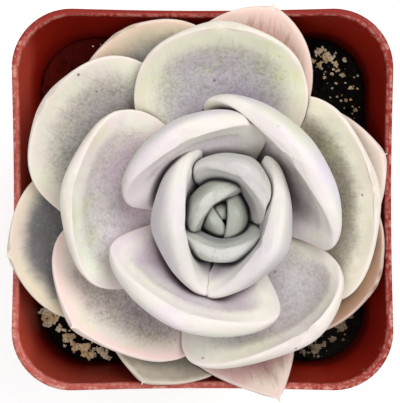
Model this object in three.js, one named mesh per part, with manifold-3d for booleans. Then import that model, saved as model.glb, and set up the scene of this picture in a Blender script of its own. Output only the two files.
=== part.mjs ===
// A young blue-grey echeveria rosette in a small square nursery pot.
// Millimetres, +Z up. The pot stands on z = 0 with its middle on the Z axis.

import * as THREE from "three";
import { mergeVertices } from "three/addons/utils/BufferGeometryUtils.js";
import Module from "manifold-3d";

const wasm = await Module();
wasm.setup();

const clearance = 0.34;
const sliver = 0.11;

const rimWidth = 60.3;
const baseWidth = 43;
const potHeight = 55;
const wall = 1.1;
const collarHeight = 9;
const collarStep = 0.5;
const floorThickness = 1.6;
const rimCornerRadius = 9.4;
const baseCornerRadius = 7.5;
const rimBow = 0.35;
const drainHoleRadius = 2.6;

const soilHeight = 43;
const soilCells = 10;
const stemRadius = 2.9;
const stemTopRadius = 1.7;
const stemFoot = 33;
const rosetteX = 2.9;
const rosetteY = -2.3;

const youngestBase = 55;
const baseSpacing = 0.45;
const marginShare = 0.52;

function toManifold(geometry) {
  const bare = geometry.clone();
  bare.deleteAttribute("normal");
  bare.deleteAttribute("uv");
  const merged = mergeVertices(bare, 1e-4);
  return new wasm.Manifold(
    new wasm.Mesh({
      numProp: 3,
      vertProperties: new Float32Array(merged.getAttribute("position").array),
      triVerts: new Uint32Array(merged.getIndex().array),
    }),
  );
}

function toGeometry(solid) {
  const mesh = solid.getMesh();
  const geometry = new THREE.BufferGeometry();
  geometry.setAttribute("position", new THREE.BufferAttribute(new Float32Array(mesh.vertProperties), 3));
  geometry.setIndex(new THREE.BufferAttribute(new Uint32Array(mesh.triVerts), 1));
  geometry.computeVertexNormals();
  return geometry;
}

// The largest body of a solid, without the loose scraps and slivers that a cut leaves.
function largestBody(solid) {
  const bodies = solid.simplify(sliver).decompose();
  return bodies.reduce((best, body) => (body.volume() > best.volume() ? body : best));
}

// The same solid with every face moved out, so that what is cut by it keeps a gap.
function swollen(geometry, gap) {
  const bare = geometry.clone();
  bare.deleteAttribute("normal");
  bare.deleteAttribute("uv");
  const merged = mergeVertices(bare, 1e-4);
  merged.computeVertexNormals();
  const position = merged.getAttribute("position");
  const normal = merged.getAttribute("normal");
  for (let i = 0; i < position.count; i += 1) {
    position.setXYZ(
      i,
      position.getX(i) + normal.getX(i) * gap,
      position.getY(i) + normal.getY(i) * gap,
      position.getZ(i) + normal.getZ(i) * gap,
    );
  }
  return toManifold(merged);
}

// A closed skin over rings of points, all rings with the same count, each end closed by its middle.
function skin(rings, firstMiddle, lastMiddle) {
  const count = rings[0].length;
  const points = [firstMiddle, ...rings.flat(), lastMiddle];
  const indices = [];
  const at = (ring, i) => 1 + ring * count + (i % count);
  for (let i = 0; i < count; i += 1) {
    indices.push(0, at(0, i + 1), at(0, i));
    indices.push(points.length - 1, at(rings.length - 1, i), at(rings.length - 1, i + 1));
    for (let ring = 0; ring + 1 < rings.length; ring += 1) {
      indices.push(at(ring, i), at(ring, i + 1), at(ring + 1, i + 1));
      indices.push(at(ring, i), at(ring + 1, i + 1), at(ring + 1, i));
    }
  }
  const geometry = new THREE.BufferGeometry().setFromPoints(points);
  geometry.setIndex(indices);
  geometry.computeVertexNormals();
  return geometry;
}

// Points round a square with rounded corners, whose sides bow inwards a little.
function squareRing(halfWidth, cornerRadius, bow, z) {
  const points = [];
  const cornerSteps = 5;
  const sideSteps = 4;
  const straight = halfWidth - cornerRadius;
  for (let side = 0; side < 4; side += 1) {
    const turn = (side * Math.PI) / 2;
    for (let step = 0; step < cornerSteps; step += 1) {
      const angle = (step / cornerSteps) * (Math.PI / 2);
      const x = straight + cornerRadius * Math.cos(angle);
      const y = straight + cornerRadius * Math.sin(angle);
      points.push(new THREE.Vector3(x, y, z).applyAxisAngle(new THREE.Vector3(0, 0, 1), turn));
    }
    for (let step = 0; step < sideSteps; step += 1) {
      const along = step / sideSteps;
      const x = straight * (1 - 2 * along);
      const y = halfWidth - bow * Math.sin(Math.PI * along);
      points.push(new THREE.Vector3(x, y, z).applyAxisAngle(new THREE.Vector3(0, 0, 1), turn));
    }
  }
  return points;
}

function cornerAt(z) {
  return THREE.MathUtils.lerp(baseCornerRadius, rimCornerRadius, z / potHeight);
}

// Half the width of the pot's body below the collar, outside.
function bodyHalf(z) {
  return THREE.MathUtils.lerp(baseWidth / 2, rimWidth / 2 - collarStep, z / potHeight);
}

function potRing(inset, z) {
  return squareRing(bodyHalf(z) - inset, cornerAt(z) - inset * 0.6, rimBow * (z / potHeight), z);
}

function makePot() {
  const collarFoot = potHeight - collarHeight;
  const rings = [
    potRing(0.7, 0),
    potRing(0.15, 0.25),
    potRing(0, 0.9),
    potRing(0, collarFoot),
    potRing(-collarStep * 0.75, collarFoot + 0.15),
    potRing(-collarStep, collarFoot + 0.6),
    potRing(-collarStep, potHeight - 0.5),
    potRing(-collarStep + 0.15, potHeight - 0.15),
    potRing(-collarStep + 0.5, potHeight),
    potRing(wall - 0.45, potHeight),
    potRing(wall - 0.12, potHeight - 0.15),
    potRing(wall, potHeight - 0.6),
    potRing(wall, floorThickness + 1.4),
    potRing(wall + 0.5, floorThickness + 0.4),
    potRing(wall + 1.5, floorThickness),
  ];
  const shell = skin(rings, new THREE.Vector3(0, 0, 0), new THREE.Vector3(0, 0, floorThickness));
  let pot = toManifold(shell);
  for (let i = 0; i < 8; i += 1) {
    const angle = (i * Math.PI) / 4;
    const reach = i % 2 === 0 ? 13.5 : 17.5;
    const hole = new THREE.CylinderGeometry(drainHoleRadius, drainHoleRadius, 8, 16);
    hole.rotateX(Math.PI / 2);
    hole.translate(reach * Math.cos(angle), reach * Math.sin(angle), 0);
    pot = pot.subtract(toManifold(hole));
  }
  return largestBody(pot);
}

// Seeded draws, so that the grains lie the same way each time.
function draws(seed) {
  let state = seed;
  return () => {
    state = (state * 1664525 + 1013904223) % 4294967296;
    return state / 4294967296;
  };
}

function grain(size, squash, spin, draw) {
  const geometry = new THREE.IcosahedronGeometry(size, 0);
  const position = geometry.getAttribute("position");
  const seen = new Map();
  for (let i = 0; i < position.count; i += 1) {
    const point = new THREE.Vector3().fromBufferAttribute(position, i);
    const key = `${point.x.toFixed(3)} ${point.y.toFixed(3)} ${point.z.toFixed(3)}`;
    if (!seen.has(key)) {
      seen.set(key, 0.78 + 0.4 * draw());
    }
    point.multiplyScalar(seen.get(key));
    position.setXYZ(i, point.x, point.y, point.z);
  }
  geometry.rotateX(spin * 2.1);
  geometry.rotateZ(spin * 3.7);
  geometry.scale(1, 1, squash);
  return geometry;
}

// Places on the soil that the leaves leave open: middle x and y, spread, how many grains, their size.
const grainPatches = [
  { x: 19.6, y: 22.6, spread: 2.6, count: 8, size: 1.2 },
  { x: 23.6, y: 17.5, spread: 2.4, count: 6, size: 0.9 },
  { x: 21.6, y: 13.6, spread: 2.2, count: 4, size: 0.7 },
  { x: -23.4, y: -18.2, spread: 2.2, count: 7, size: 1 },
  { x: -20.6, y: -21.8, spread: 2.4, count: 6, size: 0.95 },
  { x: -16.2, y: -23.8, spread: 2.4, count: 6, size: 0.9 },
  { x: 21.5, y: -19.6, spread: 2.6, count: 7, size: 1.1 },
  { x: 17.2, y: -23.4, spread: 2.4, count: 6, size: 1 },
  { x: -23.2, y: 22.4, spread: 2.2, count: 3, size: 0.9 },
];

function soilTop(x, y) {
  const ridge = Math.sin(x * 0.5 + 1.3 * Math.sin(y * 0.35));
  const furrow = Math.sin(y * 0.45 + 1.1 * Math.sin(x * 0.3 + 1));
  return soilHeight + 0.5 * ridge * furrow;
}

function makeSoil() {
  const inset = wall + clearance + 0.05;
  const draw = draws(47);
  const height = soilHeight - floorThickness - clearance;
  const block = new THREE.BoxGeometry(rimWidth, rimWidth, height, soilCells, soilCells, 1);
  block.translate(0, 0, soilHeight - height / 2);
  const loose = mergeVertices(block.deleteAttribute("normal").deleteAttribute("uv"), 1e-4);
  const position = loose.getAttribute("position");
  for (let i = 0; i < position.count; i += 1) {
    if (position.getZ(i) > soilHeight - 0.01) {
      const x = position.getX(i) + (draw() - 0.5) * 0.9;
      const y = position.getY(i) + (draw() - 0.5) * 0.9;
      position.setXYZ(i, x, y, soilTop(x, y) + (draw() - 0.5) * 0.8);
    }
  }
  let soil = toManifold(loose);
  for (const patch of grainPatches) {
    for (let i = 0; i < patch.count; i += 1) {
      const angle = i * 2.4 + draw();
      const reach = patch.spread * Math.sqrt((i + 0.5) / patch.count);
      const x = patch.x + reach * Math.cos(angle);
      const y = patch.y + reach * Math.sin(angle);
      const size = patch.size * (0.65 + 0.6 * draw());
      const piece = grain(size, 0.8, draw() * 3, draw);
      piece.translate(x, y, soilTop(x, y) + size * 0.25);
      soil = soil.add(toManifold(piece));
    }
  }
  const inside = toManifold(
    skin(
      [potRing(inset + 1.5, floorThickness), potRing(inset, 4), potRing(inset, potHeight - 1)],
      new THREE.Vector3(0, 0, floorThickness),
      new THREE.Vector3(0, 0, potHeight - 1),
    ),
  );
  const hole = new THREE.CylinderGeometry(stemRadius + clearance, stemRadius + clearance, 40, 18);
  hole.rotateX(Math.PI / 2);
  hole.translate(rosetteX, rosetteY, stemFoot - clearance + 20);
  return largestBody(soil.intersect(inside).subtract(toManifold(hole)));
}

function stemGeometry() {
  const top = youngestBase - 0.6;
  const profile = [
    new THREE.Vector2(0, stemFoot),
    new THREE.Vector2(stemRadius * 0.8, stemFoot),
    new THREE.Vector2(stemRadius, stemFoot + 0.8),
    new THREE.Vector2(stemRadius, soilHeight + 1),
    new THREE.Vector2(stemRadius * 0.93, soilHeight + 6),
    new THREE.Vector2(stemTopRadius * 1.1, top - 1.5),
    new THREE.Vector2(stemTopRadius * 0.8, top - 0.3),
    new THREE.Vector2(0, top),
  ];
  const geometry = new THREE.LatheGeometry(profile, 18);
  geometry.rotateX(Math.PI / 2);
  geometry.translate(rosetteX, rosetteY, 0);
  return geometry;
}

// Leaves from the youngest outwards. Azimuth counts from +X towards +Y. Start and end are how steeply
// the midrib rises at the stem and at the tip, and cup how far each half is folded up. Point sharpens
// the tip, drift carries it to the left, and skew makes the left half wider than the right. Fold makes
// the halves flatter with a keel between them, and fill raises the face between the two margins.
const leaves = [
  { azimuth: 222, length: 8.5, width: 7, start: 72, end: 104, cup: 24, thick: 2.8, fold: 0.3, point: 0.6 },
  { azimuth: 355, length: 10, width: 9.5, start: 70, end: 106, cup: 28, thick: 3.2, fold: 0.3, point: 0.5 },
  { azimuth: 132, length: 14.6, width: 12.5, start: 58, end: 128, cup: 46, thick: 3.4, fold: 0.6, fill: 0.3 },
  { azimuth: 268, length: 14.6, width: 15.5, start: 49, end: 104, cup: 42, thick: 3.4, fold: 0.6, fill: 0.3 },
  {
    azimuth: 56,
    length: 19.2,
    width: 17.6,
    start: 43,
    end: 119,
    cup: 50,
    thick: 4,
    fold: 0.6,
    fill: 0.3,
    drift: 1,
    point: 0.3,
  },
  {
    azimuth: 185,
    length: 21,
    width: 27,
    start: 34,
    end: 142,
    cup: 42,
    thick: 4.2,
    fold: 0.5,
    fill: 0.25,
    drift: 1.5,
    point: 0.5,
  },
  {
    azimuth: 333,
    length: 21.5,
    width: 27.5,
    start: 32,
    end: 132,
    cup: 44,
    thick: 4.2,
    fold: 0.65,
    fill: 0.25,
    drift: -1.5,
    point: 0.3,
  },
  { azimuth: 116, length: 26.2, width: 26.8, start: 24, end: 118, cup: 47, thick: 4, fill: 0.4, skew: 0.03 },
  { azimuth: 248, length: 27.4, width: 30.5, start: 20, end: 104, cup: 44, thick: 4, fill: 0.4 },
  { azimuth: 40, length: 28.8, width: 32.5, start: 14, end: 132, cup: 46, thick: 4, fill: 0.3 },
  { azimuth: 171.5, length: 29.9, width: 30, start: 13, end: 76, cup: 32, thick: 3.9 },
  { azimuth: 303, length: 29.3, width: 28.5, start: 9, end: 84, cup: 31, thick: 3.9, drift: 1, skew: -0.24 },
  { azimuth: 90, length: 33, width: 28, start: 12, end: 54, cup: 26, thick: 3.8 },
  { azimuth: 223, length: 31, width: 29, start: 11, end: 42, cup: 24, thick: 3.7, point: 0.6, drift: -3 },
  { azimuth: 9, length: 27, width: 33, start: 12, end: 50, cup: 25, thick: 3.7 },
  { azimuth: 147, length: 35.2, width: 28, start: 12, end: 40, cup: 24, thick: 3.5 },
  {
    azimuth: 281,
    length: 31.5,
    width: 18.5,
    start: 10,
    end: 32,
    cup: 22,
    thick: 3.3,
    point: 1.15,
    drift: 3.5,
    skew: -0.3,
  },
  {
    azimuth: 76,
    length: 34.8,
    width: 22,
    start: 10,
    end: 28,
    cup: 22,
    thick: 3.2,
    point: 0.35,
    skew: 0.15,
  },
  { azimuth: 191, length: 35.5, width: 26, start: 10, end: 32, cup: 20, thick: 3.1, point: 0.3 },
  { azimuth: 337, length: 28.5, width: 25, start: 14, end: 34, cup: 20, thick: 3, point: 0.2 },
  { azimuth: 118, length: 34.5, width: 26, start: 12, end: 32, cup: 18, thick: 3 },
  { azimuth: 245, length: 31, width: 24, start: 14, end: 34, cup: 20, thick: 2.9, point: 0.7 },
  { azimuth: 20, length: 29.5, width: 24, start: 16, end: 36, cup: 20, thick: 2.9, point: 0.6 },
];

const widestAt = 0.62;
const bladeEnd = 0.978;
const midribBend = 1.6;

// Half the width of a leaf along its length, as a share of the widest place.
function outlineAt(along, baseShare, point) {
  if (along < widestAt) {
    const rise = Math.sin((Math.PI / 2) * (along / widestAt));
    return baseShare + (1 - baseShare) * rise ** 1.25;
  }
  const past = (along - widestAt) / (bladeEnd - widestAt);
  const left = Math.max(0, 1 - past ** THREE.MathUtils.lerp(2.5, 1.7, point));
  return left ** THREE.MathUtils.lerp(0.48, 0.85, point);
}

// How steeply a leaf's midrib rises, in radians.
function riseAt(leaf, along) {
  return THREE.MathUtils.degToRad(leaf.start + (leaf.end - leaf.start) * along ** midribBend);
}

// A place across a leaf's middle surface: how far it is to the side, how high it stands over the midrib,
// and how steep it is there. A folded leaf has flatter halves, which meet at a keel.
function sectionAt(leaf, cup, halfWidth, across) {
  const steps = 8;
  const power = 1 - (leaf.fold ?? 0);
  const sign = Math.sign(across);
  let reach = 0;
  let height = 0;
  for (let step = 0; step < steps; step += 1) {
    const tilt = cup * ((Math.abs(across) * (step + 0.5)) / steps) ** power;
    reach += (Math.cos(tilt) * Math.abs(across) * halfWidth) / steps;
    height += (Math.sin(tilt) * Math.abs(across) * halfWidth) / steps;
  }
  return { reach: sign * reach, height, tilt: sign * cup * Math.abs(across) ** power };
}

function leafGeometry(leaf, index) {
  const sections = leaf.length < 15 ? 10 : 12;
  const half = leaf.length < 15 ? 5 : 6;
  const baseShare = THREE.MathUtils.lerp(0.5, 0.27, Math.min(1, index / 10));
  const drift = leaf.drift ?? 0;
  const rings = [];
  const spine = new THREE.Vector2(stemTopRadius * 0.5, youngestBase - baseSpacing * index);
  let previous = 0;
  let tip = null;
  for (let section = 0; section <= sections; section += 1) {
    const along = 1 - (1 - section / sections) ** 1.7;
    const middle = (along + previous) / 2;
    const middleRise = riseAt(leaf, middle);
    spine.x += Math.cos(middleRise) * (along - previous) * leaf.length;
    spine.y += Math.sin(middleRise) * (along - previous) * leaf.length;
    previous = along;
    const rise = riseAt(leaf, along);
    const side = drift * along * along;
    if (section === sections) {
      tip = new THREE.Vector3(spine.x, side, spine.y);
      break;
    }
    const spike = 0.035 * Math.min(1, (1.01 - along) / 0.04);
    const share = Math.hypot(outlineAt(along, baseShare, leaf.point ?? 0), spike);
    const halfWidth = (leaf.width / 2) * share * (1 + 0.02 * Math.sin(9 * along + 2.4 * index));
    const cup = THREE.MathUtils.degToRad(leaf.cup) * (0.55 + 0.45 * Math.sin(Math.PI * Math.min(1, along)));
    const body = leaf.thick * (0.62 + 0.38 * Math.sin(Math.PI * along ** 0.85));
    const thick = Math.min(body, halfWidth * 1.25);
    const edge = (thick * marginShare) / 2;
    const brim = sectionAt(leaf, cup, halfWidth, 1).height;
    const ring = [];
    for (let i = 0; i < 2 * half; i += 1) {
      const lower = i > half;
      const across = Math.cos((Math.PI * i) / half);
      const inset = Math.min((1 - Math.abs(across)) * halfWidth, (1 - along) * leaf.length);
      const round = Math.sqrt(1 - (1 - Math.min(1, inset / edge)) ** 2);
      const at = sectionAt(leaf, cup, halfWidth, across);
      const depth = lower
        ? -edge * round - (thick - 2 * edge) * (1 - across * across)
        : edge * round + (leaf.fill ?? 0) * (brim - at.height);
      const lateral = (at.reach - depth * Math.sin(at.tilt)) * (1 + (leaf.skew ?? 0) * across);
      const normal = at.height + depth * Math.cos(at.tilt);
      ring.push(
        new THREE.Vector3(
          spine.x - Math.sin(rise) * normal,
          side + lateral,
          spine.y + Math.cos(rise) * normal,
        ),
      );
    }
    rings.push(ring);
  }
  const root = rings[0].reduce((sum, point) => sum.add(point), new THREE.Vector3()).divideScalar(2 * half);
  const geometry = skin(rings, root, tip);
  geometry.rotateZ(THREE.MathUtils.degToRad(leaf.azimuth));
  geometry.translate(rosetteX, rosetteY, 0);
  return geometry;
}

function budGeometry() {
  const bud = new THREE.SphereGeometry(1, 10, 8);
  bud.rotateX(Math.PI / 2);
  bud.scale(0.6, 1, 2.6);
  bud.translate(rosetteX, rosetteY, youngestBase + 2.6);
  return bud;
}

function material(color, roughness) {
  return new THREE.MeshStandardMaterial({ color, roughness, metalness: 0 });
}

const leafColours = [0x8d938b, 0xc9c7bd, 0xdcd8cc, 0xd2cdb9, 0xc0b3a6];
const root = new THREE.Group();
root.name = "potted_echeveria";

function place(name, solid, skinMaterial) {
  const mesh = new THREE.Mesh(toGeometry(solid), skinMaterial);
  mesh.name = name;
  root.add(mesh);
}

const pot = makePot();
const soil = makeSoil();
const stem = stemGeometry();
const taken = [stem, toGeometry(pot), toGeometry(soil)].map((geometry) => swollen(geometry, clearance));

place("pot", pot, material(0x8c3a2a, 0.42));
place("soil", soil, material(0x40291c, 0.95));
place("stem", toManifold(stem), material(0x8f9270, 0.7));

const shapes = leaves.map(leafGeometry);
const heartShapes = [budGeometry(), shapes[0], shapes[1]];
let heart = heartShapes.map(toManifold).reduce((sum, solid) => sum.add(solid));
heart = largestBody(heart.subtract(taken[0]));
place("heart", heart, material(leafColours[0], 0.6));
for (const shape of heartShapes) {
  taken.push(swollen(shape, clearance));
}

// Where two leaves press on each other, the one placed later gives way. The younger one keeps its
// form, but the fifth from the middle is held in by the two that clasp it.
const placed = [2, 3, 5, 6, 4];
for (let index = 7; index < leaves.length; index += 1) {
  placed.push(index);
}
for (const index of placed) {
  let solid = toManifold(shapes[index]);
  for (const other of taken) {
    solid = solid.subtract(other);
  }
  const colour = leafColours[1 + Math.min(3, Math.floor(index / 6))];
  place(`leaf_${String(index - 1).padStart(2, "0")}`, largestBody(solid), material(colour, 0.6));
  taken.push(swollen(shapes[index], clearance));
}

export default root;
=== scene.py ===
import math
import random

import bpy
import numpy as np
from mathutils import Matrix, Vector, noise
from mathutils.bvhtree import BVHTree


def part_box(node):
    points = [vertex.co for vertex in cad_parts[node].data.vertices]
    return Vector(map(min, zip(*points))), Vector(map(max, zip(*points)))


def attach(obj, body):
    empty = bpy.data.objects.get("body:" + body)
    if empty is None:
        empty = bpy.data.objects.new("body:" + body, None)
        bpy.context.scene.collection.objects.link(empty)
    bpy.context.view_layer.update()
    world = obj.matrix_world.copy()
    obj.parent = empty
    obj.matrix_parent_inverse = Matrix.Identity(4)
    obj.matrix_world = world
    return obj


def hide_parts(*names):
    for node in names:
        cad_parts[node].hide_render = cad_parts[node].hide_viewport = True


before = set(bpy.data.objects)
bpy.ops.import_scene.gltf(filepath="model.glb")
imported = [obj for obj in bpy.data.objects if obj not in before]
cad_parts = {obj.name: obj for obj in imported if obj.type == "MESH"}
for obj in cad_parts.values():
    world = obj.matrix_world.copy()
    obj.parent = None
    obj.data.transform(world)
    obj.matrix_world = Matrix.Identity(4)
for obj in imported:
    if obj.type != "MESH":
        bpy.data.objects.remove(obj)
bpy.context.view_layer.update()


# The pot is a square nursery pot with a shallow collar and eight drain holes in its floor.
# It is pressed from thin terracotta-red plastic, so that its wall has one thickness all over.
# The lip is rounded and scuffed pale, and the inside keeps a satin gloss.
pot_rim_width = 0.0603
pot_foot_width = 0.0430
pot_height = 0.0550
pot_collar_height = 0.0090
pot_collar_step = 0.0005
pot_wall = 0.0011
pot_floor = 0.0016
pot_corner_radius = 0.0094
pot_corner_steps = 16
pot_side_cuts = 19
pot_side_bow = 0.00035
pot_lip_round = 0.0005
pot_drain_radius = 0.0026
pot_drain_reach = (0.0135, 0.0175)
pot_drain_count = 8
pot_red = "a3200f"
pot_deep_red = "921106"
pot_shade_red = "1c0301"
pot_lip_highlight_red = "b0554b"
pot_lip_shade_red = "74140a"
pot_scuff = "e6b5a8"
pot_dust_and_light = "c0604a"
pot_lit_wall_red = "d2523e"


def paint(code, strength=1.0):
    """A colour as the shaders take it, from its six-digit screen code."""
    screen = [int(code[i : i + 2], 16) / 255 for i in (0, 2, 4)]
    light = [c / 12.92 if c <= 0.04045 else ((c + 0.055) / 1.055) ** 2.4 for c in screen]
    return (*(strength * c for c in light), 1.0)


class Value:
    """A value in a material. Sums and products of values add the nodes that they need."""

    def __init__(self, tree, socket):
        self.tree = tree
        self.socket = socket

    def maths(self, operation, first, second):
        node = self.tree.nodes.new("ShaderNodeMath")
        node.operation = operation
        for place, term in enumerate((first, second)):
            if isinstance(term, Value):
                self.tree.links.new(term.socket, node.inputs[place])
            else:
                node.inputs[place].default_value = term
        return Value(self.tree, node.outputs[0])

    def __add__(self, other):
        return self.maths("ADD", self, other)

    def __radd__(self, other):
        return self.maths("ADD", other, self)

    def __sub__(self, other):
        return self.maths("SUBTRACT", self, other)

    def __rsub__(self, other):
        return self.maths("SUBTRACT", other, self)

    def __mul__(self, other):
        return self.maths("MULTIPLY", self, other)

    def __rmul__(self, other):
        return self.maths("MULTIPLY", other, self)


class Finish:
    """A material, built up node by node on a single shader."""

    def __init__(self, name, **fixed):
        self.material = bpy.data.materials.new(name)
        self.material.use_nodes = True
        self.tree = self.material.node_tree
        self.tree.nodes.clear()
        self.shader = self.tree.nodes.new("ShaderNodeBsdfPrincipled")
        output = self.tree.nodes.new("ShaderNodeOutputMaterial")
        self.tree.links.new(self.shader.outputs[0], output.inputs["Surface"])
        for socket, setting in fixed.items():
            self.shader.inputs[socket.replace("_", " ")].default_value = setting

    def node(self, kind, settings, sockets, out=0):
        node = self.tree.nodes.new("ShaderNode" + kind)
        for name, setting in settings.items():
            setattr(node, name, setting)
        for name, term in sockets.items():
            if isinstance(term, Value):
                self.tree.links.new(term.socket, node.inputs[name])
            else:
                node.inputs[name].default_value = term
        return Value(self.tree, node.outputs[out])

    def feed(self, socket, value):
        self.tree.links.new(value.socket, self.shader.inputs[socket])

    def place(self):
        return self.node("TexCoord", {}, {}, "Object")

    def own(self, name):
        return self.node("Attribute", {"attribute_name": name}, {}, "Fac")

    def axis(self, letter):
        return self.node("SeparateXYZ", {}, {"Vector": self.place()}, letter)

    def grain(self, scale, detail=4.0, roughness=0.55, stretch=(1.0, 1.0, 1.0), shift=0.0):
        """Noise fixed to the piece, about 0 to 1, with so many lumps to the metre."""
        mapping = {"Vector": self.place(), "Scale": stretch, "Location": (shift, shift * 1.7, 0)}
        at = self.node("Mapping", {}, mapping)
        sockets = {"Vector": at, "Scale": scale, "Detail": detail, "Roughness": roughness}
        return self.node("TexNoise", {}, sockets, "Fac")

    def band(self, value, low, high):
        """0 below low, 1 above high, and the other way round where low is the greater."""
        if low > high:
            return 1 - self.band(value, high, low)
        sockets = {"Value": value, "From Min": low, "From Max": high}
        return self.node("MapRange", {"interpolation_type": "SMOOTHSTEP"}, sockets, "Result")

    def blend(self, share, first, second):
        """The first colour, or as much of the second as the share says."""
        return self.node("Mix", {"data_type": "RGBA"}, {0: share, 6: first, 7: second}, 2)

    def bump(self, height, distance, strength=1.0):
        sockets = {"Height": height, "Distance": distance, "Strength": strength}
        self.feed("Normal", self.node("Bump", {}, sockets))


def start(name):
    """Names the new primitive and goes into edit mode."""
    piece = bpy.context.object
    piece.name = name
    piece.data.name = name
    bpy.ops.object.mode_set(mode="EDIT")
    return piece


def applied(piece, kind, **settings):
    """Puts a modifier on a piece and applies it."""
    bpy.context.view_layer.objects.active = piece
    modifier = piece.modifiers.new(kind.title(), kind)
    for name, setting in settings.items():
        setattr(modifier, name, setting)
    bpy.ops.object.modifier_apply(modifier=modifier.name)


def alone(piece):
    bpy.ops.object.select_all(action="DESELECT")
    piece.select_set(True)
    bpy.context.view_layer.objects.active = piece


def settle(piece, finish):
    """Gives a finished piece its material and its place on the plant."""
    piece.data.materials.clear()
    piece.data.materials.append(finish.material)
    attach(piece, "root")


collar_foot = pot_height - pot_collar_height


def pot_half(z):
    """Half the width of the pot's wall, outside and without the collar, at a height."""
    return (pot_foot_width + (pot_rim_width - 2 * pot_collar_step - pot_foot_width) * z / pot_height) / 2


def pot_inside(z):
    in_collar = min(1, max(0, (z - (collar_foot - 0.0010)) / pot_collar_height))
    return pot_half(z) - pot_wall + pot_collar_step * in_collar


def drawn_through(levels):
    """Draws the selected ring on from the rim, through each height and half width in turn."""
    height, half = pot_height, pot_rim_width / 2
    for next_height, next_half in levels:
        bpy.ops.mesh.extrude_edges_move(TRANSFORM_OT_translate={"value": (0, 0, next_height - height)})
        ratio = next_half / half
        bpy.ops.transform.resize(value=(ratio, ratio, 1), center_override=(0, 0, next_height))
        height, half = next_height, next_half


bpy.ops.object.select_all(action="DESELECT")
bpy.ops.mesh.primitive_plane_add(size=pot_rim_width, location=(0, 0, pot_height))
bpy.ops.object.transform_apply(location=True, rotation=True, scale=True)
pot = start("pot")
bpy.ops.mesh.bevel(offset=pot_corner_radius, segments=pot_corner_steps, affect="VERTICES", profile=0.5)
bpy.ops.mesh.delete(type="ONLY_FACE")
bpy.ops.mesh.select_all(action="DESELECT")
bpy.ops.object.mode_set(mode="OBJECT")
for edge in pot.data.edges:
    ends = [pot.data.vertices[v].co for v in edge.vertices]
    edge.select = (ends[0] - ends[1]).length > pot_rim_width / 3
bpy.ops.object.mode_set(mode="EDIT")
bpy.ops.mesh.select_mode(type="EDGE")
bpy.ops.mesh.subdivide(number_cuts=pot_side_cuts)
bpy.ops.object.mode_set(mode="OBJECT")
straight = pot_rim_width / 2 - pot_corner_radius
for vertex in pot.data.vertices:
    for across, along in ((0, 1), (1, 0)):
        if abs(vertex.co[along]) < straight and abs(vertex.co[across]) > pot_rim_width / 2 - 1e-5:
            share = math.cos(math.pi / 2 * vertex.co[along] / straight)
            vertex.co[across] -= math.copysign(pot_side_bow * share, vertex.co[across])
bpy.ops.object.mode_set(mode="EDIT")
bpy.ops.mesh.select_all(action="SELECT")
levels = [(pot_height - 0.003 * i, pot_half(pot_height - 0.003 * i) + pot_collar_step) for i in (1, 2)]
levels += [(collar_foot + 0.0006, pot_half(collar_foot) + pot_collar_step)]
levels += [(collar_foot + 0.00015, pot_half(collar_foot) + pot_collar_step * 0.7)]
levels += [(collar_foot, pot_half(collar_foot))]
levels += [(z / 1000, pot_half(z / 1000)) for z in (42, 37, 32, 27, 22, 17, 12, 7, 3, 0.9)]
levels += [(0.00025, pot_half(0) - 0.00015), (0.0, pot_half(0) - 0.0007)]
drawn_through(levels)
bpy.ops.mesh.edge_face_add()
bpy.ops.mesh.inset(thickness=0.0012)
bpy.ops.mesh.inset(thickness=0.004)
bpy.ops.mesh.select_all(action="DESELECT")
bpy.ops.object.mode_set(mode="OBJECT")
for edge in pot.data.edges:
    edge.select = all(pot.data.vertices[v].co.z > pot_height - 1e-6 for v in edge.vertices)
bpy.ops.object.mode_set(mode="EDIT")
inner = [(z / 1000, pot_inside(z / 1000)) for z in (55, 54, 52, 49, 46, 42, 37, 32, 27, 22, 17, 12, 7, 3)]
inner += [(pot_floor + 0.0004, pot_half(0.002) - pot_wall - 0.0005)]
inner += [(pot_floor, pot_half(0.002) - pot_wall - 0.0015)]
drawn_through(inner)
bpy.ops.mesh.edge_face_add()
bpy.ops.mesh.inset(thickness=0.004)
bpy.ops.mesh.select_all(action="SELECT")
bpy.ops.mesh.normals_make_consistent(inside=False)
bpy.ops.object.mode_set(mode="OBJECT")
sharp = math.radians(50)
applied(pot, "BEVEL", width=pot_lip_round, segments=4, limit_method="ANGLE", angle_limit=sharp)
for i in range(pot_drain_count):
    turn = i * 2 * math.pi / pot_drain_count
    reach = pot_drain_reach[i % 2]
    spot = (reach * math.cos(turn), reach * math.sin(turn), 0)
    bpy.ops.object.select_all(action="DESELECT")
    bpy.ops.mesh.primitive_cylinder_add(vertices=28, radius=pot_drain_radius, depth=0.008, location=spot)
    drill = bpy.context.object
    applied(pot, "BOOLEAN", object=drill, operation="DIFFERENCE", solver="EXACT")
    bpy.data.objects.remove(drill)
alone(pot)
bpy.ops.object.shade_smooth_by_angle(angle=math.radians(40))

inside = pot.data.attributes.new("inside", "FLOAT", "POINT")
outward = pot.data.attributes.new("outward", "FLOAT", "POINT")
for vertex in pot.data.vertices:
    facing = vertex.normal.x * vertex.co.x + vertex.normal.y * vertex.co.y
    corner = [max(abs(c) - straight, 0) for c in vertex.co.xy]
    inside.data[vertex.index].value = float(facing < -0.002)
    outward.data[vertex.index].value = (math.hypot(*corner) - pot_corner_radius) * 1000

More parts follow.
